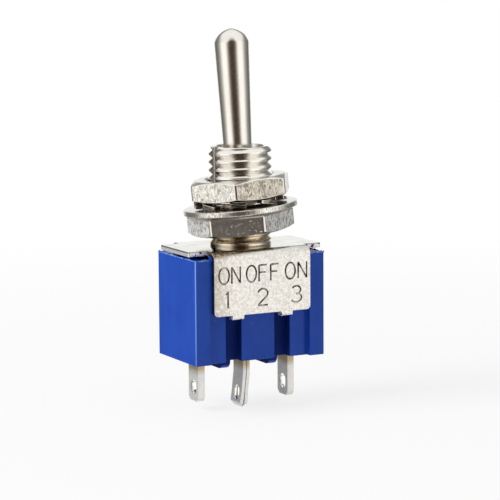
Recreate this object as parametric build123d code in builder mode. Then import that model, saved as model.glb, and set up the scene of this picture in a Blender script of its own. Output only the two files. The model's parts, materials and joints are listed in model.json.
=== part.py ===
"""Miniature single-pole toggle switch, ON - OFF - ON, with a threaded bushing and solder lugs.

The origin is on the bushing's axis, level with the top face of the steel frame.
+Z runs out along the bushing. X is the lever's throw and the row of solder lugs.
"""

from build123d import *
import os
from math import ceil, cos, radians, sin, sqrt, tan

os.makedirs("parts", exist_ok=True)

# Driving dimensions: millimetres and degrees
case_length = 13.2
case_width = 7.9
case_height = 9.6
sheet = 0.45  # steel frame
bushing_radius = 2.95
bushing_height = 9.1
lever_reach = 15.1  # pivot to tip
lever_tip_radius = 1.6
lever_rim_radius = 1.33  # where the lever leaves the bushing
lever_dome_height = 1.25
throw = 11.0  # lever's swing to each side of upright
lean = 3.3  # how far the lever stands off upright, towards -X
lug_pitch = 4.65
lug_width = 2.0
lug_thickness = 0.7
lug_reach = 3.95  # outer lugs, below the case
nut_across_flats = 8.65
nut_thickness = 1.9
nut_corner = 0.35  # rounding of the six corners
washer_radius = 5.3
washer_thickness = 0.5
rocker_ratio = 0.69  # rocker's tilt over lever's swing
cock = 5.3  # how far the nuts and washers hang askew on the thread
cock_azimuth = 153.0  # the side that hangs low

# Clearances
running = 0.04  # radial, a shaft in its hole
seat = 0.02  # fixed pieces beside each other
loose = 0.17  # radial, nuts and washers round the thread
end_gap = 0.3  # under the overhanging ends of the steel frame

# Levels of the case and the steel frame
floor_thickness = 1.75
case_top = -sheet - end_gap
case_bottom = case_top - case_height
leg_bottom = -5.9
floor_top = case_bottom + floor_thickness

# Steel frame
leg_inside = case_width / 2
leg_outside = leg_inside + sheet
leg_half_width = 4.95
tab_overhang = 0.2
tab_width = 6.0
hook_width = 1.2
hook_height = 0.4
hook_inward = 0.4  # how far each hook reaches under the case's side

# Thread of the bushing, M6 x 0.75, right-handed, worn soft: the groove between its crests
thread_pitch = 0.75
thread_depth = 0.34
thread_crest = 0.2 * thread_pitch
groove_half_width = (thread_pitch - thread_crest) / 2
thread_start = 0.45  # height of the groove's middle where it starts
thread_start_azimuth = 128.0
thread_turns = ceil((bushing_height - thread_start) / thread_pitch + 0.5)

# Bushing, its socket for the lever's ball and the pivot's height
swage = 0.3
spigot_radius = bushing_radius - 0.35
rim_bore = bushing_radius - 0.70
foot_bore = bushing_radius - 0.65
keyway_floor = bushing_radius - 0.55
keyway_width = 1.05
ball_radius = 0.66 * bushing_radius
socket_radius = ball_radius + 0.07
lip_radius = 0.82 * ball_radius
lip_height = sqrt(socket_radius**2 - lip_radius**2)
pin_radius = 0.45
pin_inset = 0.7  # from the pin's ends to the crests of the thread
pin_reach = bushing_radius - pin_inset
swing_gap = 0.06
pivot_depth = (rim_bore - swing_gap - lever_rim_radius / cos(radians(throw))) / tan(radians(throw))
pivot_z = bushing_height - pivot_depth
foot_depth = pivot_z + sheet + swage

# Lever's hollow foot, the plunger in it and the spring between them
skirt_radius = cos(radians(throw)) * (foot_bore - 0.1 - foot_depth * tan(radians(throw)))
plunger_radius = 0.56 * skirt_radius
neck_radius = 1.1
lever_dome_radius = (lever_tip_radius**2 + lever_dome_height**2) / (2 * lever_dome_height)
spring_cover = 0.75  # solid lever between the pin and the spring
spring_top = pin_radius + spring_cover
plunger_stand_out = 2.2
plunger_hold = 2.4  # length of plunger inside the lever's foot

# Rocker, which tilts on the common terminal's fold
fulcrum_height = 2.5
rocker_pivot_z = floor_top + fulcrum_height
rocker_thickness = 0.5
rocker_width = 2.4
rocker_dish = 8.0  # each arm's rise
rocker_hem = 0.12  # underside above the pivot, at the middle
arm_reach = 4.55
contact_inset = 0.7
contact_reach = arm_reach - contact_inset
contact_gap = 0.03

# Where the plunger's round tip rests in the rocker's dish
tip_seat = rocker_hem + (rocker_thickness + plunger_radius) / cos(radians(rocker_dish))
plunger_reach = pivot_z - rocker_pivot_z - tip_seat - 0.05
skirt_reach = plunger_reach - plunger_stand_out
plunger_top = skirt_reach - plunger_hold

# Contact heads: round, with a domed face on the moving ones
head_radius = 0.65
head_edge = 0.2
dome_rise = 0.2
dome_radius = (head_radius**2 + dome_rise**2) / (2 * dome_rise)
shank_radius = 0.33
fixed_head_radius = 0.8
fixed_head = 0.35

# The outer terminals' tongues lie just under the moving contacts at full throw
dome_back = head_edge + dome_rise - dome_radius
dome_x = contact_reach + sin(radians(rocker_dish)) * dome_back
dome_z = rocker_hem + contact_reach * tan(radians(rocker_dish)) - cos(radians(rocker_dish)) * dome_back
full_tilt = radians(rocker_ratio * throw)
contact_level = rocker_pivot_z - dome_x * sin(full_tilt) + dome_z * cos(full_tilt) - dome_radius
tongue_top = contact_level - contact_gap - fixed_head
tongue_end = contact_reach - fixed_head_radius - 0.1

# Lugs; the common one is longer, leans towards -X and its two tips part a little
inner_width = lug_width + 0.6
slot_width = 1.1
slot_length = 1.4
slot_above_tip = 1.3
tip_chamfer = 0.35
common_extra_reach = 0.93
right_extra_reach = 0.3  # the right lug hangs a little lower than the left one
bend_drop = 1.65  # bend below the case
splay_reach = 1.5  # tips' length beyond the splay
lug_lean = tan(radians(6))
splay = tan(radians(2))
outer_tip = case_bottom - lug_reach
common_tip = outer_tip - common_extra_reach

# Case
case_corner = 0.08
pillar_inside = 5.1
rib_depth = 0.55
groove_near = 1.7
groove_far = 3.3
groove_depth = 0.95
cavity_half_length = lug_pitch + lug_thickness / 2 + 0.4
upper_cavity_half_width = bushing_radius
inner_wall = 0.5
well_shelf = 0.5  # where the well widens, above the legs' ends
lower_cavity_half_width = case_width / 2 - rib_depth - groove_depth - inner_wall
standoff_x = 2.45
standoff_width = 0.85
standoff_depth = 3.5
standoff_drop = 0.95

# Stack on the thread, measured up the bushing's axis
thread_bore = bushing_radius + loose
lower_nut_bottom = 1.16
stack_gap = 0.1
tooth_height = 0.6
washer_bottom = lower_nut_bottom + nut_thickness + stack_gap
lock_bottom = washer_bottom + washer_thickness + stack_gap / 2
upper_nut_bottom = lock_bottom + tooth_height + stack_gap / 2


def leaning_plane(height, angle, azimuth):
    """A plane on the bushing's axis whose normal leans by an angle towards an azimuth."""
    side = Vector(cos(radians(azimuth)), sin(radians(azimuth)), 0)
    normal = side * sin(radians(angle)) + Vector(0, 0, cos(radians(angle)))
    return Plane(origin=(0, 0, height), x_dir=Vector(0, 1, 0).cross(normal), z_dir=normal)


def section_of(plane):
    """The plane that holds the given plane's x direction and its normal."""
    return Plane(origin=plane.origin, x_dir=plane.x_dir, z_dir=-plane.y_dir)


def normal_of(plane):
    return Axis(plane.origin, plane.z_dir)


def finish(builder, name):
    """Label a finished piece and write it as one STEP file."""
    builder.part.label = name
    export_step(builder.part, f"parts/{name}.step")


lever_plane = leaning_plane(pivot_z, lean, 180)
rocker_plane = leaning_plane(rocker_pivot_z, rocker_ratio * lean, 0)


# Case: one moulding, open at the top, with ribbed sides, a slotted floor and two standoffs
with BuildPart() as case:
    with BuildSketch(Plane.XY.offset(case_bottom)):
        Rectangle(case_length, case_width)
    extrude(amount=case_height)
    fillet(case.edges().filter_by(Axis.Z), case_corner)
    # the long walls rise between the legs and carry the steel frame's top
    with BuildSketch(Plane.YZ) as land:
        with Locations((0, case_top)):
            Rectangle(2 * (leg_inside - 0.1), 2 * end_gap)
        fillet(land.vertices().group_by(Axis.Y)[-1], end_gap - 0.05)
    extrude(amount=leg_half_width - 0.1, both=True)
    # below the legs the sides step back between the pillars, with two deep grooves each
    with BuildSketch(Plane.XY.offset(case_bottom)):
        with GridLocations(0, case_width - rib_depth, 1, 2):
            Rectangle(2 * pillar_inside, rib_depth)
        groove_y = case_width - 2 * rib_depth - groove_depth
        with GridLocations(groove_near + groove_far, groove_y, 2, 2):
            Rectangle(groove_far - groove_near, groove_depth)
    extrude(amount=leg_bottom - case_bottom, mode=Mode.SUBTRACT)
    # mechanism well, wider at the top where the bushing's swaged foot and the lever swing
    with BuildSketch(Plane.XY.offset(floor_top)):
        Rectangle(2 * cavity_half_length, 2 * lower_cavity_half_width)
    extrude(amount=-floor_top, mode=Mode.SUBTRACT)
    with BuildSketch(Plane.XY.offset(leg_bottom + well_shelf)):
        Rectangle(2 * cavity_half_length, 2 * upper_cavity_half_width)
    extrude(amount=-leg_bottom, mode=Mode.SUBTRACT)
    with BuildSketch(Plane.XY.offset(case_bottom)):
        with GridLocations(lug_pitch, 0, 3, 1):
            Rectangle(lug_thickness + 2 * seat, lug_width + 2 * seat)
    extrude(amount=floor_top - case_bottom, mode=Mode.SUBTRACT)
    for x in (-standoff_x, standoff_x):
        with BuildSketch(Plane.YZ.offset(x - standoff_width / 2)) as foot:
            with Locations((0, case_bottom)):
                Rectangle(standoff_depth, 2 * standoff_drop)
            fillet(foot.vertices().group_by(Axis.Y)[0], standoff_drop - 0.15)
        extrude(amount=standoff_width)
finish(case, "case")


# Steel frame: folded sheet with two legs, two end tabs and staked hooks under the case's sides
with BuildPart() as steel_frame:
    with BuildSketch(Plane.YZ) as fold:
        with BuildLine():
            Polyline(
                (-leg_outside, leg_bottom),
                (-leg_outside, 0),
                (leg_outside, 0),
                (leg_outside, leg_bottom),
                (leg_inside, leg_bottom),
                (leg_inside, -sheet),
                (-leg_inside, -sheet),
                (-leg_inside, leg_bottom),
                close=True,
            )
        make_face()
        fillet(fold.vertices().group_by(Axis.Y)[-1], end_gap + sheet)
        fillet(fold.vertices().group_by(Axis.Y)[-2], end_gap)
    extrude(amount=leg_half_width, both=True)
    fillet(steel_frame.edges().filter_by(Axis.Y).group_by(Axis.Z)[0], 0.4)
    with BuildSketch(Plane.XY) as tabs:
        Rectangle(case_length + 2 * tab_overhang, tab_width)
        fillet(tabs.vertices(), 0.2)
    extrude(amount=-sheet)
    Hole(spigot_radius + seat)
    hook_depth = sheet + hook_inward
    hook_y = leg_outside - hook_depth / 2
    hook_z = leg_bottom - hook_height / 2
    for x in (-(groove_near + groove_far) / 2, (groove_near + groove_far) / 2):
        with BuildSketch(Plane.YZ.offset(x - hook_width / 2)) as hook:
            with Locations((-hook_y, hook_z), (hook_y, hook_z)):
                Rectangle(hook_depth, hook_height)
            fillet(hook.vertices().group_by(Axis.Y)[0], 0.45 * hook_height)
        extrude(amount=hook_width)
finish(steel_frame, "steel_frame")


# Thread turn: the groove's coil, once round
with BuildPart() as thread_turn:
    with BuildLine() as helix:
        Helix(thread_pitch, thread_pitch, bushing_radius)
    with BuildSketch(Plane(origin=helix.line @ 0, x_dir=(1, 0, 0), z_dir=helix.line % 0)):
        proud_half_width = groove_half_width * (1 + running / thread_depth)
        Polygon((-thread_depth, 0), (running, -proud_half_width), (running, proud_half_width), align=None)
    sweep(path=helix.line, is_frenet=True)


# Bushing: turned and threaded, with a socket that holds the lever's ball, a keyway and two slots
# for the pin
with BuildPart() as bushing:
    with BuildSketch(Plane.XZ):
        with BuildLine():
            lip = (lip_radius, pivot_z + lip_height)
            Polyline(
                (socket_radius, pivot_z),
                (socket_radius, pivot_z - 1.8),
                (foot_bore, -sheet - swage),
                (spigot_radius + 0.1, -sheet - swage),
                (spigot_radius + 0.25, -sheet - swage / 2),
                (spigot_radius + 0.25, -sheet),
                (spigot_radius, -sheet),
                (spigot_radius, 0),
                (bushing_radius - 0.1, 0),
                (bushing_radius - 0.1, 0.35),
                (bushing_radius, 0.45),
                (bushing_radius, bushing_height - 0.3),
                (bushing_radius - 0.3, bushing_height),
                (rim_bore, bushing_height),
                lip,
            )
            RadiusArc(lip, (socket_radius, pivot_z), socket_radius)
        make_face()
    revolve(axis=Axis.Z)
    # the groove winds up from the foot and runs out past the rim
    for turn in range(thread_turns):
        foot_of_turn = Location((0, 0, thread_start + turn * thread_pitch), (0, 0, thread_start_azimuth))
        add(thread_turn.part.moved(foot_of_turn), mode=Mode.SUBTRACT)
    with BuildSketch(Plane.XY):
        with Locations((-keyway_floor - 1, 0)):
            Rectangle(2, keyway_width)
    extrude(amount=bushing_height, mode=Mode.SUBTRACT)
    with BuildSketch(Plane.XZ):
        with Locations((0, pivot_z)):
            Circle(pin_radius + running)
        with Locations((0, pivot_z - foot_depth / 2)):
            Rectangle(2 * (pin_radius + running), foot_depth)
    extrude(amount=pin_reach + running, both=True, mode=Mode.SUBTRACT)
finish(bushing, "bushing")


# Lever: tapered bat with a domed tip, a ball and a hollow foot
with BuildPart() as lever:
    with BuildSketch(section_of(lever_plane)):
        with BuildLine():
            shoulder = (lever_tip_radius, lever_reach - lever_dome_height)
            tip = (0, lever_reach)
            neck = (neck_radius, sqrt(ball_radius**2 - neck_radius**2))
            collar = (skirt_radius, -sqrt(ball_radius**2 - skirt_radius**2))
            RadiusArc(tip, shoulder, lever_dome_radius)
            Polyline(shoulder, (lever_rim_radius, pivot_depth), neck)
            ThreePointArc(neck, (ball_radius, 0), collar)
            Polyline(
                collar,
                (skirt_radius, -skirt_reach),
                (plunger_radius + running, -skirt_reach),
                (plunger_radius + running, -spring_top),
                (0, -spring_top),
                tip,
            )
        make_face()
    revolve(axis=normal_of(lever_plane))
    with BuildSketch(section_of(lever_plane)):
        Circle(pin_radius + seat)
    extrude(amount=ball_radius, both=True, mode=Mode.SUBTRACT)
finish(lever, "lever")


# Pivot pin: crosses the ball and rides in the bushing's slots
with BuildPart() as pivot_pin:
    with BuildSketch(section_of(lever_plane)):
        Circle(pin_radius)
    extrude(amount=pin_reach, both=True)
    chamfer(pivot_pin.edges().filter_by(GeomType.CIRCLE), 0.08)
finish(pivot_pin, "pivot_pin")


# Plunger: moulded, with a round tip that rides in the rocker's dish
with BuildPart() as plunger:
    with BuildSketch(section_of(lever_plane)):
        with BuildLine():
            Polyline(
                (0, -plunger_reach - plunger_radius),
                (0, -plunger_top),
                (plunger_radius, -plunger_top),
                (plunger_radius, -plunger_reach),
            )
            RadiusArc((plunger_radius, -plunger_reach), (0, -plunger_reach - plunger_radius), plunger_radius)
        make_face()
    revolve(axis=normal_of(lever_plane))
finish(plunger, "plunger")


# Plunger spring: between the lever's bore and the plunger
with BuildPart() as plunger_spring:
    wire = 0.1
    turns = 5
    coil_radius = plunger_radius - wire - 0.06
    coil_bottom = -plunger_top + wire + seat
    coil_height = plunger_top - spring_top - 2 * (wire + seat)
    with BuildLine() as coil:
        start = lever_plane.from_local_coords((0, 0, coil_bottom))
        Helix(coil_height / turns, coil_height, coil_radius, center=start, direction=lever_plane.z_dir)
    with BuildSketch(Plane(origin=coil.line @ 0, z_dir=coil.line % 0)):
        RegularPolygon(wire, 4)
    sweep(is_frenet=True)
finish(plunger_spring, "plunger_spring")


# Rocker: dished contact bar, grooved underneath to tilt on the common terminal
with BuildPart() as rocker:
    rise = arm_reach * tan(radians(rocker_dish))
    depth = rocker_thickness / cos(radians(rocker_dish))
    with BuildSketch(section_of(rocker_plane)):
        with BuildLine():
            Polyline(
                (-arm_reach, rocker_hem + rise),
                (0, rocker_hem),
                (arm_reach, rocker_hem + rise),
                (arm_reach, rocker_hem + rise + depth),
                (0, rocker_hem + depth),
                (-arm_reach, rocker_hem + rise + depth),
                close=True,
            )
        make_face()
        Circle(lug_thickness / 2 + running, mode=Mode.SUBTRACT)
    extrude(amount=rocker_width / 2, both=True)
    with BuildSketch(rocker_plane) as plan:
        Rectangle(2 * arm_reach, rocker_width)
        fillet(plan.vertices(), 0.7)
    extrude(amount=2, mode=Mode.INTERSECT)
    for side in (-1, 1):
        local = (side * contact_reach, 0, rocker_hem + contact_reach * tan(radians(rocker_dish)))
        spot = rocker_plane.from_local_coords(local)
        slope = side * sin(radians(rocker_dish))
        across = rocker_plane.z_dir * cos(radians(rocker_dish)) - rocker_plane.x_dir * slope
        with BuildSketch(Plane(origin=spot, z_dir=across)):
            Circle(shank_radius + seat)
        extrude(amount=rocker_thickness, mode=Mode.SUBTRACT)
finish(rocker, "rocker")


def moving_contact(side, name):
    """Silver rivet under one of the rocker's arms, its domed head facing down."""
    local = (side * contact_reach, 0, rocker_hem + contact_reach * tan(radians(rocker_dish)))
    spot = rocker_plane.from_local_coords(local)
    slope = side * sin(radians(rocker_dish))
    down = rocker_plane.x_dir * slope - rocker_plane.z_dir * cos(radians(rocker_dish))
    face = Plane(origin=spot, x_dir=rocker_plane.y_dir, z_dir=down)
    with BuildPart() as contact:
        with BuildSketch(section_of(face)):
            with BuildLine():
                Polyline(
                    (0, head_edge + dome_rise),
                    (0, -rocker_thickness),
                    (shank_radius, -rocker_thickness),
                    (shank_radius, 0),
                    (head_radius, 0),
                    (head_radius, head_edge),
                )
                RadiusArc((0, head_edge + dome_rise), (head_radius, head_edge), dome_radius)
            make_face()
        revolve(axis=normal_of(face))
    finish(contact, name)


moving_contact(-1, "left_moving_contact")
moving_contact(1, "right_moving_contact")


def lug_front(tip, top):
    """The face of a terminal: wide inside the case, narrow below it, with an eye for the wire."""
    with BuildSketch(Plane.YZ) as front:
        with Locations((0, (tip + top) / 2)):
            Rectangle(lug_width, top - tip)
        chamfer(front.vertices().group_by(Axis.Y)[0], tip_chamfer)
        with Locations((0, (floor_top + top) / 2)):
            Rectangle(inner_width, top - floor_top)
        with Locations((0, tip + slot_above_tip)):
            SlotOverall(slot_length, slot_width, rotation=90, mode=Mode.SUBTRACT)
    return front.sketch


# Common terminal: one strip folded double, its fold the rocker's fulcrum, its lug bent a little
with BuildPart() as common_terminal:
    fold_radius = lug_thickness / 2
    slit = 0.025
    tip_slope = 0.42
    bend_level = case_bottom - bend_drop
    splay_level = common_tip + splay_reach

    def layer_x(x, level):
        """Shift a layer's x at a level for the lug's lean and the tips' splay."""
        shift = -lug_lean * max(0, bend_level - level)
        spread = splay * max(0, splay_level - level)
        return x + shift + (spread if x > 0 else -spread)

    def layer_side(x, tip):
        """One side of a layer, from the fold down to its tip."""
        levels = (rocker_pivot_z, bend_level, splay_level, tip)
        return [(layer_x(x, level), level) for level in levels]

    with BuildSketch(Plane.XZ):
        with BuildLine():
            Polyline(*layer_side(-fold_radius, common_tip + tip_slope), *layer_side(-slit, common_tip)[::-1])
            ThreePointArc((-slit, rocker_pivot_z), (0, rocker_pivot_z + slit), (slit, rocker_pivot_z))
            Polyline(*layer_side(slit, common_tip), *layer_side(fold_radius, common_tip + tip_slope)[::-1])
            crown = (0, rocker_pivot_z + fold_radius)
            ThreePointArc((fold_radius, rocker_pivot_z), crown, (-fold_radius, rocker_pivot_z))
        make_face()
    extrude(amount=inner_width / 2, both=True)
    front = lug_front(common_tip, rocker_pivot_z + lug_thickness)
    extrude(front, amount=lug_pitch / 2, both=True, mode=Mode.INTERSECT)
finish(common_terminal, "common_terminal")


def side_terminal(side, tip, name):
    """Outer solder lug, its inner end bent over into a tongue that carries the fixed contact."""
    outer = side * (lug_pitch + lug_thickness / 2)
    inner = side * (lug_pitch - lug_thickness / 2)
    with BuildPart() as terminal:
        with BuildSketch(Plane.XZ) as profile:
            with BuildLine():
                Polyline(
                    (outer, tip),
                    (outer, tongue_top),
                    (side * tongue_end, tongue_top),
                    (side * tongue_end, tongue_top - lug_thickness),
                    (inner, tongue_top - lug_thickness),
                    (inner, tip),
                    close=True,
                )
            make_face()
            corner = profile.vertices().sort_by_distance((outer, tongue_top))[0]
            fillet(corner, lug_thickness - 0.1)
        extrude(amount=inner_width / 2, both=True)
        front = lug_front(tip, tongue_top + 1)
        extrude(front, amount=case_length, both=True, mode=Mode.INTERSECT)
        with Locations((side * contact_reach, 0, tongue_top)):
            Hole(shank_radius + seat, depth=lug_thickness)
    finish(terminal, name)


side_terminal(-1, outer_tip, "left_terminal")
side_terminal(1, outer_tip - right_extra_reach, "right_terminal")


def fixed_contact(side, name):
    """Silver rivet on an outer terminal's tongue."""
    with BuildPart() as contact:
        with BuildSketch(Plane.XY.offset(tongue_top)):
            with Locations((side * contact_reach, 0)):
                Circle(fixed_head_radius)
        extrude(amount=fixed_head)
        chamfer(contact.edges().group_by(Axis.Z)[-1], 0.1)
        with BuildSketch(Plane.XY.offset(tongue_top)):
            with Locations((side * contact_reach, 0)):
                Circle(shank_radius)
        extrude(amount=-lug_thickness)
    finish(contact, name)


fixed_contact(-1, "left_fixed_contact")
fixed_contact(1, "right_fixed_contact")


def hex_nut(bottom, corner_azimuth, chamfered_top, name):
    """Thin hexagon nut, hanging askew on the thread, its corners turned off on one face."""
    plane = leaning_plane(bottom + nut_thickness / 2, cock, cock_azimuth)
    half = nut_thickness / 2
    corner = nut_across_flats / sqrt(3)
    flat = 0.96 * nut_across_flats / 2
    drop = (corner - flat) * tan(radians(20))
    thread_chamfer = 0.2
    mouth = thread_bore + thread_chamfer
    outer_face = 1 if chamfered_top else -1
    with BuildPart() as nut:
        with BuildSketch(plane) as hexagon:
            RegularPolygon(corner, 6, rotation=corner_azimuth)
            fillet(hexagon.vertices(), nut_corner)
        extrude(amount=half, both=True)
        with BuildSketch(section_of(plane)):
            with BuildLine():
                Polyline(
                    (mouth, outer_face * half),
                    (flat, outer_face * half),
                    (corner, outer_face * (half - drop)),
                    (corner, -outer_face * (half - 0.15)),
                    (corner - 0.3, -outer_face * half),
                    (mouth, -outer_face * half),
                    (thread_bore, -outer_face * (half - thread_chamfer)),
                    (thread_bore, outer_face * (half - thread_chamfer)),
                    close=True,
                )
            make_face()
        revolve(axis=normal_of(plane), mode=Mode.INTERSECT)
    finish(nut, name)


hex_nut(lower_nut_bottom, 29.4, False, "lower_nut")
hex_nut(upper_nut_bottom, 58.5, True, "upper_nut")


# Locating washer: flat ring with an inner tab that rides in the bushing's keyway
with BuildPart() as locating_washer:
    with BuildSketch(leaning_plane(washer_bottom + washer_thickness / 2, cock, cock_azimuth)):
        Circle(washer_radius)
        Circle(thread_bore, mode=Mode.SUBTRACT)
        tab_reach = keyway_floor + 0.12
        tab_root = thread_bore + 0.2
        with Locations((-(tab_reach + tab_root) / 2, 0)):
            Rectangle(tab_root - tab_reach, keyway_width - 0.25)
    extrude(amount=washer_thickness / 2, both=True)
    chamfer(locating_washer.edges().filter_by(GeomType.CIRCLE).group_by(SortBy.LENGTH)[-1], 0.06)
finish(locating_washer, "locating_washer")


# Lock washer: spring-steel ring with nine twisted teeth
with BuildPart() as lock_washer:
    lock_plane = leaning_plane(lock_bottom + tooth_height / 2, cock, cock_azimuth)
    lock_radius = nut_across_flats / 2
    teeth = 9
    root_radius = thread_bore + 0.45
    tooth_width = 1.5
    tooth_thickness = 0.28
    tooth_twist = radians(11)
    tooth_overlap = 0.2
    with BuildSketch(lock_plane):
        Circle(root_radius)
        Circle(thread_bore, mode=Mode.SUBTRACT)
    extrude(amount=tooth_thickness / 2, both=True)
    for tooth in range(teeth):
        angle = radians(360 / teeth * tooth)
        outwards = lock_plane.x_dir * cos(angle) + lock_plane.y_dir * sin(angle)
        along = lock_plane.z_dir.cross(outwards)
        twisted = lock_plane.z_dir * cos(tooth_twist) + along * sin(tooth_twist)
        with BuildSketch(Plane(origin=lock_plane.origin, x_dir=outwards, z_dir=twisted)):
            with Locations(((root_radius + lock_radius - tooth_overlap) / 2, 0)):
                Rectangle(lock_radius - root_radius + tooth_overlap, tooth_width)
        extrude(amount=tooth_thickness / 2, both=True)
    with BuildSketch(lock_plane):
        Circle(lock_radius)
        Circle(thread_bore, mode=Mode.SUBTRACT)
    extrude(amount=tooth_height, both=True, mode=Mode.INTERSECT)
finish(lock_washer, "lock_washer")
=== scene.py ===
"""A miniature toggle switch dressed over its CAD frame: nickel, bright plate, tin and blue moulding."""

import json
import math
import random

import bpy
from mathutils import Matrix, Vector

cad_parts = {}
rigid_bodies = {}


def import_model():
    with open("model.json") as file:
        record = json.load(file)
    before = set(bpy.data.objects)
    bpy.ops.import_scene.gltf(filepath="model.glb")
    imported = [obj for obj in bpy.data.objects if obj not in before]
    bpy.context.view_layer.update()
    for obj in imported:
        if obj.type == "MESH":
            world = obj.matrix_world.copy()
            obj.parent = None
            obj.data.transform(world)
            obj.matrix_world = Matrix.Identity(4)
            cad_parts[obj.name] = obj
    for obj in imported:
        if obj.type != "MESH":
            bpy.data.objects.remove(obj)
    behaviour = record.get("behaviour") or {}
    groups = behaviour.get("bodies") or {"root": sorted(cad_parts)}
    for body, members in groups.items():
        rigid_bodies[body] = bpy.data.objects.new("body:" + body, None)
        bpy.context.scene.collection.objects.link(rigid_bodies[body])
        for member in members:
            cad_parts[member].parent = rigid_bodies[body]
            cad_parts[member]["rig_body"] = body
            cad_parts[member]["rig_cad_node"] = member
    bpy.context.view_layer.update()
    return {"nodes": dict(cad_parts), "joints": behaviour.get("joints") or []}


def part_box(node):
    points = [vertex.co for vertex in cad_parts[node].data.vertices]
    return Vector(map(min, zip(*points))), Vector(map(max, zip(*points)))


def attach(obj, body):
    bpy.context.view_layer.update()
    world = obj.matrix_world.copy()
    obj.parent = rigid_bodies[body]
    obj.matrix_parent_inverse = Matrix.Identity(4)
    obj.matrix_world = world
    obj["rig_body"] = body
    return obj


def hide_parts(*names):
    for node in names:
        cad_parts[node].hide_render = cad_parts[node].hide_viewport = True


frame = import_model()

MM = 0.001
WHITE = (1.0, 1.0, 1.0)

plate_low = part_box("steel_frame")[0]
case_low, case_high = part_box("case")
lowest_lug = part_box("common_terminal")[0].z
joints = {joint["name"]: joint for joint in frame["joints"]}
nut_axis = Vector(joints["upper_nut_turn"]["axis"]).normalized()
lever_axis = Vector(joints["plunger_slide"]["axis"]).normalized()
plate_front = plate_low.y

CAMERA_AZIMUTH = math.radians(-26.92)
facing = Vector((math.sin(CAMERA_AZIMUTH), -math.cos(CAMERA_AZIMUTH), 0))
sideways = Vector((math.cos(CAMERA_AZIMUTH), math.sin(CAMERA_AZIMUTH), 0))


# ---------------------------------------------------------------- modelling helpers

SAME_POINT = 0.0002 * MM
SAME_FLAT = math.radians(0.6)
NUT_SIDE_AREA = 2 * MM * MM


def select_only(*pieces):
    """Leave just these pieces selected, the first one active."""
    bpy.ops.object.select_all(action="DESELECT")
    for piece in pieces:
        piece.select_set(True)
    bpy.context.view_layer.objects.active = pieces[0]


def edit_all(piece, operator, **settings):
    """Run an edit-mode operator on the whole of a piece's mesh."""
    select_only(piece)
    bpy.ops.object.mode_set(mode="EDIT")
    bpy.ops.mesh.select_all(action="SELECT")
    operator(**settings)
    bpy.ops.object.mode_set(mode="OBJECT")


def unit_cube():
    """A new cube, one metre wide and alone in the selection."""
    bpy.ops.object.select_all(action="DESELECT")
    bpy.ops.mesh.primitive_cube_add(size=1)
    return bpy.context.object


def apply_modifier(piece, kind, **settings):
    """Add a modifier, set it up and apply it."""
    select_only(piece)
    modifier = piece.modifiers.new(kind.title(), kind)
    for name, value in settings.items():
        setattr(modifier, name, value)
    bpy.ops.object.modifier_apply(modifier=modifier.name)


def smooth(piece, angle=35, flats=True):
    """Shade curves smooth, and leave any large flats between them flat."""
    select_only(piece)
    bpy.ops.object.shade_smooth_by_angle(angle=math.radians(angle))
    if flats:
        apply_modifier(piece, "WEIGHTED_NORMAL", keep_sharp=True)


def break_edges(piece, width, segments=2, sharper_than=28, miter="MITER_SHARP"):
    """Round every sharp edge of a piece a little, as tumbling and plating do."""
    apply_modifier(
        piece,
        "BEVEL",
        width=width,
        segments=segments,
        limit_method="ANGLE",
        angle_limit=math.radians(sharper_than),
        miter_outer=miter,
        use_clamp_overlap=True,
    )


def copy_of(node, name):
    """A CAD node's shape as a new piece, its flat faces whole again."""
    piece = frame["nodes"][node].copy()
    piece.data = piece.data.copy()
    piece.parent = None
    piece.name = piece.data.name = name
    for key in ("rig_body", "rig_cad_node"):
        if key in piece:
            del piece[key]
    piece.data.materials.clear()
    bpy.context.scene.collection.objects.link(piece)
    edit_all(piece, bpy.ops.mesh.remove_doubles, threshold=SAME_POINT)
    edit_all(piece, bpy.ops.mesh.customdata_custom_splitnormals_clear)
    edit_all(piece, bpy.ops.mesh.dissolve_limited, angle_limit=SAME_FLAT)
    return piece


def cut_away(piece, *cutters):
    """Cut these pieces out of another and throw them away."""
    select_only(*cutters)
    if len(cutters) > 1:
        bpy.ops.object.join()
    apply_modifier(piece, "BOOLEAN", operation="DIFFERENCE", object=cutters[0], solver="EXACT",
                   use_self=len(cutters) > 1, material_mode="TRANSFER")
    bpy.data.objects.remove(cutters[0])


def is_side(flat):
    """Whether this is one of a nut's six flat sides."""
    return abs(flat.normal.dot(nut_axis)) < 0.05 and flat.area > NUT_SIDE_AREA


def chamfer_nut(piece, centre, face, narrowness, slope, sides=144):
    """Chamfer the face of a nut on this side: turned, or in six flats when there are six sides."""
    reach = max((vertex.co - centre).dot(face) for vertex in piece.data.vertices)
    flat = max((flat for flat in piece.data.polygons if is_side(flat)), key=lambda flat: flat.area)
    spare = 0.02 * MM
    steepness = math.tan(math.radians(slope))
    narrow = narrowness * (flat.center - centre).dot(flat.normal) - spare / steepness
    widen = 1 / math.cos(math.pi / sides)
    bpy.ops.object.select_all(action="DESELECT")
    bpy.ops.mesh.primitive_cone_add(
        vertices=sides,
        radius1=(narrow + 3 * reach / steepness) * widen,
        radius2=narrow * widen,
        depth=3 * reach,
    )
    cone = bpy.context.object
    cone.data.transform(Matrix.Translation((0, 0, spare - reach / 2)))
    across = face.cross(flat.normal).normalized()
    turn = Matrix((flat.normal, across, face)).transposed().to_4x4()
    cone.data.transform(Matrix.Translation(centre) @ turn)
    apply_modifier(piece, "BOOLEAN", operation="INTERSECT", object=cone, solver="EXACT")
    bpy.data.objects.remove(cone)


def settle(piece, body, slot, *replaced):
    """Hand a finished piece to its CAD body and hide the nodes that it stands for; its slot is not used.
    """
    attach(piece, body)
    if replaced:
        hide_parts(*replaced)


# ---------------------------------------------------------------- shader helpers


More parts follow.
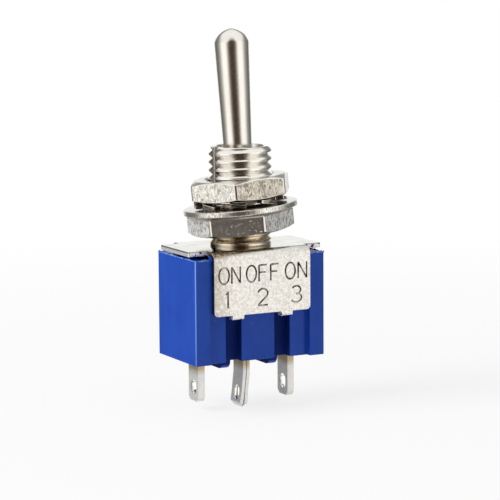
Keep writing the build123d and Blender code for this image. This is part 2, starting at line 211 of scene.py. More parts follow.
class Value:
    """A shader socket that takes part in sums."""

    def __init__(self, finish, socket):
        self.finish, self.socket = finish, socket

    def sum(self, operation, *values):
        return self.finish.sum_of(operation, *values)

    def __add__(self, other):
        return self.sum("ADD", self, other)

    __radd__ = __add__

    def __sub__(self, other):
        return self.sum("SUBTRACT", self, other)

    def __rsub__(self, other):
        return self.sum("SUBTRACT", other, self)

    def __mul__(self, other):
        return self.sum("MULTIPLY", self, other)

    __rmul__ = __mul__

    def __truediv__(self, other):
        return self.sum("DIVIDE", self, other)

    def clamped(self):
        """The same value, kept between 0 and 1."""
        return self.finish.node("ShaderNodeClamp", {}, {0: self})


class Finish:
    """A node tree that is put together one finish at a time."""

    def __init__(self, owner):
        owner.use_nodes = True
        self.owner, self.tree = owner, owner.node_tree
        self.tree.nodes.clear()

    def node(self, kind, settings, inputs, output=0):
        """Add a node: its settings first, then its sockets by name or number; gives back one output."""
        made = self.tree.nodes.new(kind)
        for name, value in settings.items():
            setattr(made, name, value)
        for key, value in inputs.items():
            socket = made.inputs[key]
            if isinstance(value, Value):
                self.tree.links.new(value.socket, socket)
            elif socket.type == "RGBA":
                socket.default_value = (*value, 1.0)
            else:
                socket.default_value = value
        return Value(self, made.outputs[output]) if made.outputs else None

    def sum_of(self, operation, *values):
        """The result of one piece of arithmetic on values or numbers."""
        return self.node("ShaderNodeMath", {"operation": operation}, dict(enumerate(values)))

    def mix(self, factor, first, second):
        """Blend two colours."""
        return self.node("ShaderNodeMix", {"data_type": "RGBA"}, {0: factor, 6: first, 7: second}, 2)

    def ramp(self, value, *stops):
        """A value read off a scale of greys or colours."""
        scale = self.node("ShaderNodeValToRGB", {}, {0: value})
        elements = scale.socket.node.color_ramp.elements
        while len(elements) < len(stops):
            elements.new(0.5)
        for element, (position, colour) in zip(elements, stops):
            element.position = position
            element.color = (*colour, 1.0) if isinstance(colour, tuple) else (colour,) * 3 + (1.0,)
        return scale

    def blend(self, value, low, high, first, second):
        """Blend two colours as a value rises from low to high."""
        return self.mix(self.ramp(value, (low, 0.0), (high, 1.0)), first, second)

    def place(self, size=(1, 1, 1), along=None):
        """Object coordinates counted in cells of this many millimetres, their Z along a direction."""
        turn = along.to_track_quat("Z", "Y").to_euler() if along else (0, 0, 0)
        where = self.node("ShaderNodeTexCoord", {}, {}, "Object")
        inputs = {"Vector": where, "Rotation": turn, "Scale": [side * MM for side in size]}
        return self.node("ShaderNodeMapping", {"vector_type": "TEXTURE"}, inputs)

    def coordinate(self, axis):
        """One Object coordinate in millimetres: X, Y or Z."""
        return self.node("ShaderNodeSeparateXYZ", {}, {0: self.place()}, axis)

    def ray(self, name):
        """Whether the ray that asks is of this kind."""
        return self.node("ShaderNodeLightPath", {}, {}, name)

    def noise(self, size, detail=2.0, roughness=0.5, distortion=0.0, along=None):
        """Noise in cells of this size: one number, or three of which the last runs along a direction."""
        vector = self.place(size if isinstance(size, tuple) else (size,) * 3, along)
        inputs = {"Vector": vector, "Scale": 1.0, "Detail": detail}
        inputs |= {"Roughness": roughness, "Distortion": distortion}
        return self.node("ShaderNodeTexNoise", {}, inputs)

    def bump(self, height, distance, strength=1.0, onto=None):
        """A normal tilted by a height, on top of another normal or none."""
        inputs = {"Height": height, "Distance": distance, "Strength": strength}
        if onto:
            inputs["Normal"] = onto
        return self.node("ShaderNodeBump", {}, inputs)

    def surface(self, **sockets):
        """Close the material with one Principled shader."""
        sockets = {name.replace("_", " "): value for name, value in sockets.items()}
        shader = self.node("ShaderNodeBsdfPrincipled", {}, sockets)
        self.node("ShaderNodeOutputMaterial", {}, {"Surface": shader})
        return self.owner


def new_finish(name):
    """An empty finish for a new material."""
    return Finish(bpy.data.materials.new(name))


# ---------------------------------------------------------------- finishes

WARM_NICKEL = (0.80, 0.765, 0.715)
PALE_NICKEL = (0.88, 0.86, 0.82)
# The warm tint of the painted reflection at the bushing's foot.
WARM_REFLECTION_TINT = (0.80, 0.71, 0.58)
# Colours of the painted reflection of the bushing's foot in the frame's top.
REFLECTION_DARK = (0.10, 0.075, 0.045)
REFLECTION_PALE = (0.42, 0.34, 0.24)


def nickel(name):
    """Nickel plate, slightly hazy, with soft waviness and fine pitting."""
    finish = new_finish(name)
    cloud = finish.noise(1.6, 3.0)
    grain = finish.noise(0.16, 3.0, 0.6)
    colour = finish.blend(cloud, 0.35, 0.7, WARM_NICKEL, PALE_NICKEL)
    waves = finish.bump(cloud, 0.012 * MM, 0.6)
    normal = finish.bump(grain, 0.003 * MM, 0.5, waves)
    return finish.surface(Metallic=1.0, Base_Color=colour, Roughness=grain * 0.12 + 0.17, Normal=normal)


def nickel_painted_reflection(name):
    """The bushing's nickel plate, its colour tinted warm towards the foot as a painted reflection."""
    finish = new_finish(name)
    cloud = finish.noise(1.6, 3.0)
    grain = finish.noise(0.16, 3.0, 0.6)
    colour = finish.blend(cloud, 0.35, 0.7, WARM_NICKEL, PALE_NICKEL)
    foot_height = 2.0
    # Painted reflection: the colour turns warm towards the foot.
    foot = ((foot_height - finish.coordinate("Z") + cloud) * 0.9).clamped()
    colour = finish.mix(foot * 0.85, colour, WARM_REFLECTION_TINT)
    normal = finish.bump(grain, 0.004 * MM, 0.6, finish.bump(cloud, 0.012 * MM, 0.6))
    return finish.surface(Metallic=1.0, Base_Color=colour, Roughness=grain * 0.1 + 0.09, Normal=normal)


def turned_nickel(name):
    """Nickel over turned brass: faint rings round the lever, with fine pitting."""
    finish = new_finish(name)
    rings = finish.noise((3.0, 3.0, 0.05), 2.0, 0.6, along=lever_axis)
    grain = finish.noise((0.2, 0.2, 0.35), 3.0, 0.65, along=lever_axis)
    cloud = finish.noise((1.2, 1.2, 3.0), 2.0, along=lever_axis)
    colour = finish.blend(cloud, 0.35, 0.7, WARM_NICKEL, PALE_NICKEL)
    normal = finish.bump(rings, 0.0012 * MM, 0.5)
    normal = finish.bump(grain, 0.004 * MM, 0.55, normal)
    return finish.surface(Metallic=1.0, Base_Color=colour, Roughness=grain * 0.14 + 0.13, Normal=normal)


def mottled_flat(name, dark, pale):
    """The sides of a nut and a washer's rim: plate over a coarse skin with short wriggling marks."""
    finish = new_finish(name)
    marks = finish.noise((0.25, 0.25, 0.55), 3.0, 0.7, 1.8, along=nut_axis)
    cloud = finish.noise((0.9, 0.9, 0.5), 2.0, along=nut_axis)
    worn = finish.ramp(marks * 0.8 + cloud * 0.2, (0.4, 0.0), (0.49, 0.55), (0.56, 1.0))
    colour = finish.mix(worn, dark, pale)
    normal = finish.bump(marks, 0.02 * MM, 0.8)
    return finish.surface(Metallic=1.0, Base_Color=colour, Roughness=worn * -0.12 + 0.36, Normal=normal)


def scratched_flat(name):
    """A nut's side that a file has dragged across: slanting scratches, bumped, and coloured near white
    as painted glints.
    """
    finish = new_finish(name)
    slant = (nut_axis + sideways * 0.35).normalized()
    strokes = finish.noise((0.13, 0.13, 1.6), 3.0, 0.6, 0.5, along=slant)
    lines = finish.ramp(strokes, (0.39, 0.0), (0.45, 0.75), (0.53, 1.0))
    # Real scratches with a painted glint: the scratch lines are coloured near white.
    colour = finish.mix(lines, (0.38, 0.38, 0.36), (1.0, 1.0, 0.98))
    normal = finish.bump(lines, 0.07 * MM, 1.0)
    return finish.surface(Metallic=0.4, Base_Color=colour, Roughness=lines * -0.1 + 0.5, Normal=normal)


def clean_flat(name):
    """A nut's side left smooth, with a few pale specks."""
    finish = new_finish(name)
    speck = finish.noise(0.16, 1.0)
    cloud = finish.noise(0.7, 3.0, 0.6)
    dots = finish.ramp(speck, (0.68, 0.0), (0.74, 1.0))
    colour = finish.blend(cloud, 0.35, 0.65, (0.77, 0.79, 0.76), (0.96, 0.98, 0.95))
    normal = finish.bump(dots, 0.03 * MM, 1.0, finish.bump(cloud, 0.008 * MM, 0.5))
    return finish.surface(Metallic=1.0, Base_Color=colour, Roughness=dots * 0.3 + 0.3, Normal=normal)


def spring_steel(name):
    """The lock washer's hard steel, dark brown but for its worn edges."""
    finish = new_finish(name)
    cloud = finish.noise(0.5, 3.0)
    colour = finish.blend(cloud, 0.38, 0.66, (0.10, 0.075, 0.055), (0.34, 0.28, 0.23))
    normal = finish.bump(cloud, 0.01 * MM, 0.4)
    return finish.surface(Metallic=1.0, Base_Color=colour, Roughness=cloud * 0.15 + 0.22, Normal=normal)


def with_painted_reflection(finish, colour):
    """A colour, under a brown painted reflection of the bushing's foot on the frame's top just before
    the bushing.
    """
    across, ahead = finish.coordinate("X"), finish.coordinate("Y")
    reflection_wobble = finish.noise(0.3, 3.0, 0.7)
    rear_end, front_end, half_length, off_centre = -1.9, 4.08, 3.4, 2.2
    # Painted reflection: a brown patch on the frame's top in front of the bushing's foot, with ragged
    # edges.
    patch = ((rear_end - ahead) * 1.5).clamped()
    patch = patch * ((ahead - across * 0.05 + front_end + reflection_wobble * 0.3) * 7.0).clamped()
    from_middle = finish.sum_of("ABSOLUTE", across + off_centre)
    patch = patch * ((half_length - from_middle + reflection_wobble * 0.6) * 2.5).clamped()
    return finish.mix(patch, colour, finish.blend(reflection_wobble, 0.4, 0.62, REFLECTION_DARK, REFLECTION_PALE))


def satin_plate(name):
    """The folded frame: bright plate over rolled steel, mottled and warm."""
    finish = new_finish(name)
    mottle = finish.noise(0.24, 4.0, 0.7)
    cloud = finish.noise(3.0, 2.0)
    colour = finish.blend(mottle, 0.34, 0.6, (0.56, 0.53, 0.50), (0.80, 0.785, 0.755))
    # Painted reflection of the bushing's foot, in brown.
    colour = with_painted_reflection(finish, colour)
    normal = finish.bump(mottle, 0.008 * MM, 0.6)
    return finish.surface(Metallic=1.0, Base_Color=colour, Roughness=cloud * 0.1 + 0.19, Normal=normal)


def bright_plate(name):
    """The frame's flat top, smooth as a mirror, with a few pits and a brown painted reflection of the
    bushing's foot before the bushing.
    """
    finish = new_finish(name)
    cloud = finish.noise(1.6, 3.0)
    speck = finish.noise(0.3, 1.0)
    pits = finish.ramp(speck, (0.72, 0.0), (0.78, 1.0))
    colour = finish.blend(cloud, 0.35, 0.7, (0.46, 0.455, 0.435), (0.64, 0.635, 0.61))
    colour = finish.mix(pits, colour, (0.30, 0.29, 0.27))
    # Painted reflection of the bushing's foot, in brown.
    colour = with_painted_reflection(finish, colour)
    normal = finish.bump(cloud, 0.006 * MM, 0.4)
    return finish.surface(Metallic=1.0, Base_Color=colour, Roughness=cloud * 0.06 + 0.05, Normal=normal)


def sheared_edge(name, pitted):
    """The frame's cut ends: a dark burnished band at the top, pale torn metal under it, and pits."""
    finish = new_finish(name)
    tear = finish.noise((0.5, 0.5, 0.25), 3.0, 0.65)
    pits = finish.noise((0.34, 0.34, 0.26), 1.0)
    band = 0.12
    torn = ((finish.coordinate("Z") * -1.0 - band + tear * 0.1) * 10.0).clamped()
    colour = finish.mix(torn, (0.36, 0.34, 0.30), (0.95, 0.95, 0.98))
    colour = finish.blend(pits, pitted, pitted + 0.04, colour, (0.03, 0.03, 0.03))
    normal = finish.bump(tear, 0.03 * MM, 0.7)
    return finish.surface(Metallic=0.85, Base_Color=colour, Roughness=torn * 0.35 + 0.2, Normal=normal)


def groove_painted_shade(name):
    """The walls of the stamped letters, darkened with painted shade and lighter in patches."""
    finish = new_finish(name)
    patchiness = finish.noise(0.45, 2.0)
    # Painted shade: the grooves' colour is dark, and lighter in patches.
    colour = finish.blend(patchiness, 0.4, 0.66, (0.11, 0.10, 0.08), (0.60, 0.57, 0.52))
    return finish.surface(Metallic=1.0, Base_Color=colour, Roughness=patchiness * 0.2 + 0.24)


def tin(name):
    """Hot-dipped tin: soft and bright, with small runs, and flux by the case."""
    finish = new_finish(name)
    runs = finish.noise((0.35, 0.35, 1.2), 3.0, 0.6)
    speck = finish.noise(0.15, 2.0)
    flux_line = case_low.z / MM - 0.1
    flux = ((finish.coordinate("Z") + runs * 0.5 - flux_line + 0.15) * 1.6).clamped()
    colour = finish.blend(runs, 0.3, 0.7, (0.86, 0.855, 0.83), (1.0, 0.995, 0.97))
    colour = finish.mix(flux, colour, (0.62, 0.52, 0.30))
    normal, roughness = finish.bump(runs, 0.02 * MM, 0.5), speck * 0.15 + 0.4
    return finish.surface(Metallic=0.65, Base_Color=colour, Roughness=roughness, Normal=normal)


def blue_moulding(name):
    """Glossy thermoset moulding: soft flow shading, a few pale specks and a painted highlight down the
    left front corner.
    """
    finish = new_finish(name)
    flow = finish.noise((2.2, 2.2, 5.0), 3.0, 0.55)
    skin = finish.noise(0.12, 2.0)
    speck = finish.noise(0.22, 1.0)
    dots = finish.ramp(speck, (0.76, 0.0), (0.80, 1.0))
    # Painted highlight: a pale strip down the case's left front upright corner, fading downwards.
    end_strip = ((case_low.x / MM + 0.1 - finish.coordinate("X")) * 20.0).clamped()
    front_strip = ((case_low.y / MM + 0.12 - finish.coordinate("Y")) * 20.0).clamped()
    corner_painted_highlight = end_strip * front_strip * (1.0 + finish.coordinate("Z") * 0.05)
    colour = finish.blend(flow, 0.3, 0.7, (0.006, 0.055, 0.395), (0.012, 0.074, 0.46))
    colour = finish.mix(dots * 0.35, colour, (0.20, 0.32, 0.75))
    colour = finish.mix(corner_painted_highlight, colour, (0.24, 0.42, 1.0))
    normal, roughness = finish.bump(skin, 0.004 * MM, 0.35), flow * 0.14 + 0.24
    return finish.surface(Specular_IOR_Level=0.22, Base_Color=colour, Roughness=roughness, Normal=normal)


def shaded_recess(name):
    """The case's grooves, left matt by the mould, their colour darkened as painted shade."""
    finish = new_finish(name)
    flow = finish.noise((1.2, 1.2, 3.0), 3.0, 0.55)
    # Painted shade: a darker blue than the case's own.
    colour = finish.blend(flow, 0.3, 0.7, (0.003, 0.018, 0.15), (0.005, 0.026, 0.20))
    return finish.surface(Specular_IOR_Level=0.1, Base_Color=colour, Roughness=flow * 0.2 + 0.5)


def flash_painted_highlight(name):
    """Ragged moulding flash, pale in broken patches: a painted highlight along the case's top edge."""
    finish = new_finish(name)
    highlight_breaks = finish.noise(0.2, 3.0)
    # Painted highlight: broken patches of pale blue along the flash.
    colour = finish.blend(highlight_breaks, 0.42, 0.56, (0.01, 0.06, 0.40), (0.22, 0.40, 0.90))
    return finish.surface(Roughness=0.45, Base_Color=colour, Normal=finish.bump(highlight_breaks, 0.02 * MM, 0.6))


def plain_metal(name, colour, patch, smoothest):
    """Bare smooth metal, lightly stained."""
    finish = new_finish(name)
    cloud = finish.noise(0.8, 3.0)
    grain = finish.noise(0.1, 2.0)
    tone = finish.blend(cloud, 0.35, 0.7, colour, patch)
    normal, roughness = finish.bump(grain, 0.003 * MM, 0.4), grain * 0.12 + smoothest
    return finish.surface(Metallic=1.0, Base_Color=tone, Roughness=roughness, Normal=normal)


def natural_nylon(name):
    """Nylon as it is moulded, off-white and a little waxy."""
    finish = new_finish(name)
    cloud = finish.noise(0.7, 3.0)
    tone = finish.mix(cloud, (0.86, 0.84, 0.78), (0.92, 0.91, 0.87))
    waxy = {"Subsurface_Weight": 0.15, "Subsurface_Radius": (0.3 * MM,) * 3}
    return finish.surface(**waxy, Base_Color=tone, Roughness=cloud * 0.1 + 0.38)


plated = nickel("nickel_plate")
plated_bushing = nickel_painted_reflection("nickel_painted_reflection")
plated_lever = turned_nickel("turned_nickel")
nut_mottled = mottled_flat("mottled_flat", (0.40, 0.38, 0.33), (0.93, 0.91, 0.87))
# A darker copy of the mottled flat: painted shade for one side of the upper nut.
nut_painted_shade = mottled_flat("flat_painted_shade", (0.19, 0.165, 0.13), (0.66, 0.62, 0.54))
nut_scratched = scratched_flat("scratched_flat")
nut_clean = clean_flat("clean_flat")
washer_steel = spring_steel("spring_steel")
frame_plate = satin_plate("frame_plate")
frame_top = bright_plate("frame_top")
frame_edge = sheared_edge("frame_edge", 0.7)
frame_hook = sheared_edge("frame_hook", 0.6)
letter_painted_shade = groove_painted_shade("letter_painted_shade")
tinned = tin("tinned_lug")
tinned_eye = plain_metal("tinned_eye", (0.98, 0.97, 0.94), (0.92, 0.91, 0.88), 0.12)
case_blue = blue_moulding("blue_moulding")
recess_painted_shade = shaded_recess("recess_painted_shade")
flash_blue = flash_painted_highlight("blue_flash")
spring_wire = plain_metal("spring_wire", (0.50, 0.49, 0.48), (0.62, 0.60, 0.58), 0.25)
bronze = plain_metal("contact_bronze", (0.72, 0.48, 0.28), (0.60, 0.36, 0.20), 0.25)
silver = plain_metal("contact_silver", (0.86, 0.86, 0.84), (0.74, 0.73, 0.70), 0.2)
nylon = natural_nylon("natural_nylon")


def paint(piece, *materials):
    """Give a piece these materials, the first one all over."""
    piece.data.materials.clear()
    for material in materials:
        piece.data.materials.append(material)


def paint_where(piece, index, test):
    """Give the material of this index to the faces of a piece that pass a test."""
    for face in piece.data.polygons:
        if test(face):
            face.material_index = index


# ---------------------------------------------------------------- bushing with a groove round its foot

GROOVE_HEIGHT = 0.4 * MM
GROOVE_RADIUS = 3.0 * MM
GROOVE_DEPTH = 0.26 * MM

bushing = copy_of("bushing", "threaded_bushing")
bpy.ops.object.select_all(action="DESELECT")
bpy.ops.mesh.primitive_torus_add(
    location=(0, 0, GROOVE_HEIGHT),
    major_radius=GROOVE_RADIUS,
    minor_radius=GROOVE_DEPTH,
    major_segments=128,
    minor_segments=4,
)
foot_groove = bpy.context.object
bpy.ops.object.transform_apply()
cut_away(bushing, foot_groove)
break_edges(bushing, 0.03 * MM, sharper_than=40)
smooth(bushing, 38, flats=False)
paint(bushing, plated_bushing)
settle(bushing, "switch_body", "nickel", "bushing")


# ---------------------------------------------------------------- frame with its stamped face

TOP_BAND = -0.46 * MM
END_EDGE = 6.7 * MM
HOOK_EDGE = 4.9 * MM
LOWEST_EDGE = plate_low.z + 0.35 * MM
STROKE = 0.18 * MM
# Where each line of letters ends below and above, in millimetres.
UPPER_LINE = (-2.93, -1.42)
LOWER_LINE = (-5.12, -3.62)


def arc(centre, radii, start, end, steps=14):
    """Points of an arc in a letter's own square, angles in degrees."""
    points = []
    for step in range(steps + 1):
        turn = math.radians(start + (end - start) * step / steps)
        points.append((centre[0] + radii[0] * math.cos(turn), centre[1] + radii[1] * math.sin(turn)))
    return points


LETTERS = {
    "O": [arc((0.5, 0.5), (0.5, 0.5), 5, 365, 26)],
    "N": [[(0, 0), (0, 1)], [(0.03, 0.97), (0.97, 0.03)], [(1, 0), (1, 1)]],
    "F": [[(0, 0), (0, 1)], [(0.03, 0.99), (1, 0.99)], [(0.03, 0.55), (0.85, 0.55)]],
    "1": [[(0.5, 0), (0.5, 1)], [(0.2, 0.8), (0.47, 0.98)]],
    "2": [arc((0.5, 0.7), (0.5, 0.3), 165, -30) + [(0.03, 0.03)], [(0, -0.01), (1, -0.01)]],
    "3": [arc((0.45, 0.75), (0.45, 0.25), 150, -90), arc((0.45, 0.27), (0.55, 0.27), 90, -150)],
}


def punch(letter, left, right, line):
    """One letter's strokes: round bars half sunk in the frame's front, each a hair unlike the last."""
    bars = []
    for order, stroke in enumerate(LETTERS[letter]):
        bar = bpy.data.curves.new("stroke", "CURVE")
        bar.dimensions = "3D"
        bar.bevel_depth = STROKE / 2 - order * 0.003 * MM
        bar.bevel_resolution = 2
        bar.use_fill_caps = True
        spline = bar.splines.new("POLY")
        if letter == "O":
            spline.use_cyclic_u = True
            stroke = stroke[:-1]
        spline.points.add(len(stroke) - 1)
        for point, (across, up) in zip(spline.points, stroke):
            x = left + (right - left) * across
            z = line[0] + (line[1] - line[0]) * up
            point.co = (x * MM, plate_front - (0.012 + 0.007 * order) * MM, z * MM, 1)
        punched = bpy.data.objects.new("stroke", bar)
        bpy.context.scene.collection.objects.link(punched)
        select_only(punched)
        bpy.ops.object.convert(target="MESH")
        edit_all(punched, bpy.ops.mesh.normals_make_consistent, inside=False)
        # The bars carry the painted shade onto the walls that they cut.
        paint(punched, letter_painted_shade)
        bars.append(punched)
    return bars


def in_top_band(face, inner, outer=math.inf):
    """Whether this is an upright face in the thickness of the frame's top, so far from the middle."""
    return face.center.z > TOP_BAND and abs(face.normal.z) < 0.5 and inner < abs(face.center.x) < outer


frame_sheet = copy_of("steel_frame", "stamped_frame")
break_edges(frame_sheet, 0.05 * MM, miter="MITER_ARC")
paint(frame_sheet, frame_plate, frame_top, frame_edge, frame_hook)
top, edge, hook = 1, 2, 3
paint_where(frame_sheet, top, lambda face: face.normal.z > 0.8)
paint_where(frame_sheet, edge, lambda face: in_top_band(face, END_EDGE))
paint_where(frame_sheet, hook, lambda face: in_top_band(face, HOOK_EDGE, END_EDGE))
paint_where(frame_sheet, hook, lambda face: face.center.z < LOWEST_EDGE)

# Each letter's sides in millimetres, and its line.
lettering = [
    ("O", -4.45, -3.42, UPPER_LINE),
    ("N", -3.15, -2.3, UPPER_LINE),
    ("O", -1.66, -0.66, UPPER_LINE),
    ("F", -0.38, 0.4, UPPER_LINE),
    ("F", 0.82, 1.62, UPPER_LINE),
    ("O", 2.34, 3.34, UPPER_LINE),
    ("N", 3.66, 4.54, UPPER_LINE),
    ("1", -3.85, -3.25, LOWER_LINE),
    ("2", -0.5, 0.5, LOWER_LINE),
    ("3", 3.0, 4.0, LOWER_LINE),
]
for stamped in lettering:
    for stroke in punch(*stamped):
        cut_away(frame_sheet, stroke)
smooth(frame_sheet, 30)
settle(frame_sheet, "switch_body", "frame_steel", "steel_frame")


# ---------------------------------------------------------------- case

GAP = 0.28 * MM
END_REACH = 0.35 * MM
CORNER_REACH = 1.35 * MM
CORNER_DEPTH = 0.5 * MM
GROOVES_HALF_LENGTH = 5.2 * MM
GROOVES_TOP = plate_low.z + 2 * MM
CASE_RIM = 0.6 * MM


def end_gap(side):
    """Cutters for the gap between the frame's overhanging tab and the case's end and corners."""
    cutters = []
    for reach, low, high in (
        (END_REACH, case_low.y - MM, case_high.y + MM),
        (CORNER_REACH, case_low.y - MM, case_low.y + CORNER_DEPTH),
        (CORNER_REACH, case_high.y - CORNER_DEPTH, case_high.y + MM),
    ):
        cutter = unit_cube()
        shape = Matrix.Diagonal((reach + MM, high - low, GAP + MM, 1))
        across, up = side * (case_high.x - reach / 2 + MM / 2), case_high.z - GAP / 2 + MM / 2
        cutter.data.transform(Matrix.Translation((across, (low + high) / 2, up)) @ shape)
        cutters.append(cutter)
    return cutters


def in_grooves(face):
    """Whether this is an upright face well inside the case, where its grooves are."""
    inside = abs(face.center.y) < case_high.y - CASE_RIM and abs(face.center.x) < GROOVES_HALF_LENGTH
    return inside and face.center.z < GROOVES_TOP and abs(face.normal.z) < 0.5


case = copy_of("case", "case_moulding")
for side in (-1, 1):
    cut_away(case, *end_gap(side))
break_edges(case, 0.06 * MM, 3, sharper_than=60)
smooth(case, 35)
paint(case, case_blue, recess_painted_shade)
# The grooves take the darker moulding: painted shade.
paint_where(case, 1, in_grooves)
settle(case, "switch_body", "moulded_blue", "case")


FLASH_WIDTH = 0.06 * MM
FLASH_HEIGHT = 0.1 * MM
FLASH_STEP = 0.13 * MM
FLASH_SUNK = 0.022 * MM
SPIKE_MM = 0.13
DIP_MM = 0.05


def flash(name, start, end, outward):
    """Ragged flash left along one top edge of the case: paper-thin and low, with a few tall spikes."""
    length = (end - start).length
    strip = unit_cube()
    strip.name = strip.data.name = name
    strip.data.transform(Matrix.Diagonal((length, FLASH_WIDTH, FLASH_HEIGHT, 1)))
    bpy.context.tool_settings.mesh_select_mode = (False, True, False)
    for flag in (*strip.data.vertices, *strip.data.polygons):
        flag.select = False
    for edge in strip.data.edges:
        first, second = [strip.data.vertices[index].co for index in edge.vertices]
        edge.select = abs(first.x - second.x) > length / 2
    bpy.ops.object.mode_set(mode="EDIT")
    bpy.ops.mesh.subdivide(number_cuts=int(length / FLASH_STEP))
    bpy.ops.object.mode_set(mode="OBJECT")
    steps = {}
    for vertex in strip.data.vertices:
        step = round(vertex.co.x / MM, 3)
        rise, lean = steps.setdefault(step, (dice.random(), dice.random()))
        if vertex.co.z > 0:
            vertex.co.z += (rise**3 * SPIKE_MM - DIP_MM) * MM
            vertex.co.y += (lean * 0.09 - 0.04) * MM
        else:
            vertex.co.z -= lean * 0.03 * MM
    along = (end - start).normalized()
    turn = Matrix((along, outward, Vector((0, 0, 1)))).transposed().to_4x4()
    sunk = (start + end) / 2 - outward * FLASH_SUNK
    strip.data.transform(Matrix.Translation(sunk) @ turn)
    edit_all(strip, bpy.ops.mesh.normals_make_consistent, inside=False)
    smooth(strip, 40)
    paint(strip, flash_blue)
    settle(strip, "switch_body", "moulded_blue")


dice = random.Random(7)
shelf = case_high.z - GAP
for side, name in ((-1, "left"), (1, "right")):
    end_x, inner_x = side * case_high.x, side * (case_high.x - CORNER_REACH)
    corners = [Vector((end_x, y, shelf)) for y in (case_low.y, case_high.y)]
    flash(f"{name}_end_flash", *corners, Vector((side, 0, 0)))
    for way, face_name in ((-1, "front"), (1, "rear")):
        ends = [Vector((x, way * case_high.y, shelf)) for x in (end_x, inner_x)]
        flash(f"{name}_{face_name}_flash", *ends, Vector((0, way, 0)))


# ---------------------------------------------------------------- lever, nuts, washers and lugs

TIP_REACH = 13.9 * MM
TIP_RADIUS = 1.6 * MM
TIP_SINK_MM = 0.07

lever = copy_of("lever", "lever_bat")
pivot = Vector(joints["lever_pivot"]["pos_m"])
for vertex in lever.data.vertices:
    reach = (vertex.co - pivot).dot(lever_axis)
    if reach > TIP_REACH:
        radius = (vertex.co - pivot - lever_axis * reach).length
        vertex.co -= lever_axis * math.sin(radius / TIP_RADIUS * math.pi) * TIP_SINK_MM * MM
break_edges(lever, 0.06 * MM, 3, sharper_than=30)
smooth(lever, 40, flats=False)
paint(lever, plated_lever)
settle(lever, "lever", "nickel", "lever")

for node in ("lower_nut", "upper_nut"):
    nut = copy_of(node, f"{node}_plated")
    centre = Vector(joints[f"{node}_turn"]["pos_m"])
    if node == "lower_nut":
        chamfer_nut(nut, centre, nut_axis, narrowness=0.945, slope=45, sides=6)
    else:
        chamfer_nut(nut, centre, -nut_axis, narrowness=0.97, slope=20)
    break_edges(nut, 0.05 * MM, 3, sharper_than=18)
    smooth(nut, 30)
    if node == "upper_nut":
        # The upper nut's side towards the camera's right takes the darker copy: painted shade.
        usual_side, odd_side, odd_way = nut_mottled, nut_painted_shade, facing + sideways * 0.6
    else:
        usual_side, odd_side, odd_way = nut_scratched, nut_clean, facing
    paint(nut, plated, usual_side, odd_side)
    paint_where(nut, 1, is_side)
    paint_where(nut, 2, lambda face: face.normal.angle(odd_way) < math.radians(25) and is_side(face))
    settle(nut, node, "nickel", node)

washer = copy_of("locating_washer", "locating_washer_plated")
break_edges(washer, 0.24 * MM, 6, sharper_than=30)
smooth(washer, 30, flats=False)
paint(washer, plated, nut_mottled)
paint_where(washer, 1, lambda face: abs(face.normal.dot(nut_axis)) < 0.8)
settle(washer, "locating_washer", "nickel", "locating_washer")

BROKEN_EDGE_AREA = 0.02 * MM * MM

lock_washer = copy_of("lock_washer", "lock_washer_plated")
break_edges(lock_washer, 0.04 * MM, 1, sharper_than=30)
smooth(lock_washer, 25)
paint(lock_washer, plated, washer_steel)
paint_where(lock_washer, 1, lambda face: face.area > BROKEN_EDGE_AREA)
settle(lock_washer, "lock_washer", "frame_steel", "lock_washer")

# The eye's walls, above a lug's tip.
EYE_HALF_WIDTH = 0.6 * MM
EYE_BOTTOM = 0.3 * MM
EYE_TOP = 2.3 * MM

for node in ("left_terminal", "common_terminal", "right_terminal"):
    lug = copy_of(node, f"{node}_tinned")
    break_edges(lug, 0.05 * MM, sharper_than=30)
    smooth(lug, 30)
    paint(lug, tinned, tinned_eye)
    tip = min(vertex.co.z for vertex in lug.data.vertices)
    paint_where(lug, 1, lambda face: abs(face.center.y) < EYE_HALF_WIDTH and abs(face.normal.x) < 0.5
                and tip + EYE_BOTTOM < face.center.z < tip + EYE_TOP)
    settle(lug, "switch_body", "tinned_copper", node)

for node, material in (
    ("pivot_pin", spring_wire),
    ("plunger_spring", spring_wire),
    ("plunger", nylon),
    ("rocker", bronze),
    ("left_moving_contact", silver),
    ("right_moving_contact", silver),
    ("left_fixed_contact", silver),
    ("right_fixed_contact", silver),
):
    paint(frame["nodes"][node], material)


# ---------------------------------------------------------------- camera, floor, world and lamps

CAMERA_ELEVATION = math.radians(7.86)
CAMERA_ROLL = math.radians(-0.4)
CAMERA_DISTANCE = 210 * MM
CAMERA_LENS = 163.3
CAMERA_SHIFT = (0.0186, -0.0054)
AIM = Vector((0, 0, -0.35 * MM))

back = facing * math.cos(CAMERA_ELEVATION) + Vector((0, 0, math.sin(CAMERA_ELEVATION)))


def make_camera():
    """A long lens, to the left of the front and a little above."""
    data = bpy.data.cameras.new("camera")
    camera = bpy.data.objects.new("camera", data)
    bpy.context.scene.collection.objects.link(camera)
    turn = Matrix((sideways, back.cross(sideways), back)).transposed().to_4x4()
    stand = Matrix.Translation(AIM + back * CAMERA_DISTANCE)
    camera.matrix_world = stand @ turn @ Matrix.Rotation(CAMERA_ROLL, 4, "Z")
    data.sensor_width = 36
    data.lens = CAMERA_LENS
    data.shift_x, data.shift_y = CAMERA_SHIFT
    data.clip_start, data.clip_end = 0.005, 20
    bpy.context.scene.camera = camera


def lamp(name, place, size, power):
    """A soft square lamp that looks at the switch."""
    data = bpy.data.lights.new(name, "AREA")
    data.size, data.energy = size, power
    light = bpy.data.objects.new(name, data)
    light.location = place
    light.rotation_euler = (-Vector(place)).to_track_quat("-Z", "Y").to_euler()
    light.visible_glossy = False
    bpy.context.scene.collection.objects.link(light)


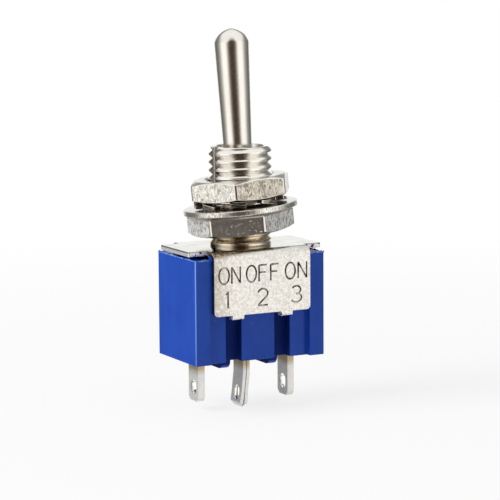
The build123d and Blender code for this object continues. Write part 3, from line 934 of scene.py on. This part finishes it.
def make_floor():
    """A pale floor that fades into the white around it, from 30 mm out."""
    bpy.ops.object.select_all(action="DESELECT")
    bpy.ops.mesh.primitive_plane_add(size=4, location=(0, 0, lowest_lug - 0.02 * MM))
    floor = bpy.context.object
    floor.visible_glossy = False
    floor.name = "floor"
    finish = new_finish("pale_floor")
    reach = finish.node("ShaderNodeVectorMath", {"operation": "LENGTH"}, {0: finish.place()}, 1)
    straight = finish.ray("Is Camera Ray") + finish.ray("Is Glossy Ray")
    seen = (straight + finish.ray("Is Transmission Ray")).clamped()
    clear, fade = 30.0, 90.0
    far = ((reach - clear) / fade).clamped()
    lit = finish.node("ShaderNodeBsdfDiffuse", {}, {"Color": (0.9, 0.9, 0.9)})
    glow = finish.node("ShaderNodeEmission", {}, {"Color": WHITE})
    blend = finish.node("ShaderNodeMixShader", {}, {0: seen * (far * 0.2 + 0.8), 1: lit, 2: glow})
    finish.node("ShaderNodeOutputMaterial", {}, {"Surface": blend})
    paint(floor, finish.owner)


def make_world():
    """Studio: a dark room behind the camera, a softbox to each side, grey flags beyond, white behind."""
    world = bpy.data.worlds.new("studio")
    bpy.context.scene.world = world
    finish = Finish(world)
    direction = finish.node("ShaderNodeTexCoord", {}, {}, "Generated")

    def along(axis):
        """How much a direction points along this axis."""
        product = {"operation": "DOT_PRODUCT"}
        return finish.node("ShaderNodeVectorMath", product, {0: direction, 1: axis}, 1)

    turn = finish.sum_of("ARCTAN2", along(sideways), along(facing)) * (180 / math.pi)
    angle = finish.sum_of("ABSOLUTE", turn)
    height = along(Vector((0, 0, 1)))
    room, gloom, soft = (0.062, 0.046, 0.036), (0.24, 0.19, 0.16), (1.22, 1.2, 1.16)
    dusk, flag, behind = (0.42, 0.41, 0.39), (0.17, 0.168, 0.16), (1.12, 1.12, 1.1)
    one_side = [(0, room), (12, room), (25, gloom), (42, soft), (70, soft)]
    one_side += [(92, dusk), (116, flag), (142, flag), (158, behind)]
    around = finish.ramp(angle / 180, *[(degrees / 180, tone) for degrees, tone in one_side])
    frontward = ((28 - angle) / 6).clamped()
    above = ((height - 0.35 - frontward * 0.3) * 3.0).clamped()
    below = ((height * -1.0 - 0.45) * 4.0).clamped()
    gap = ((height - 0.19) * 9.0).clamped() * (1 - ((height - 0.52) * 6.0).clamped())
    rearward = ((angle - 100) / 20).clamped()
    studio = finish.mix(above, around, (1.05, 1.05, 1.04))
    studio = finish.mix(gap * rearward, studio, (0.24, 0.24, 0.235))
    studio = finish.mix(below, studio, (0.8, 0.79, 0.78))
    dimmed = finish.mix(0.62, (0, 0, 0), studio)
    light = finish.mix(finish.ray("Is Diffuse Ray"), studio, dimmed)
    seen = (finish.ray("Is Camera Ray") + finish.ray("Is Transmission Ray")).clamped()
    sky = finish.node("ShaderNodeBackground", {}, {"Color": finish.mix(seen, light, WHITE)})
    finish.node("ShaderNodeOutputWorld", {}, {"Surface": sky})


make_camera()
make_floor()
make_world()
lamp("key_lamp", (-0.34, 0.02, 0.24), size=0.2, power=1.2)

bpy.context.scene.view_settings.view_transform = "Standard"
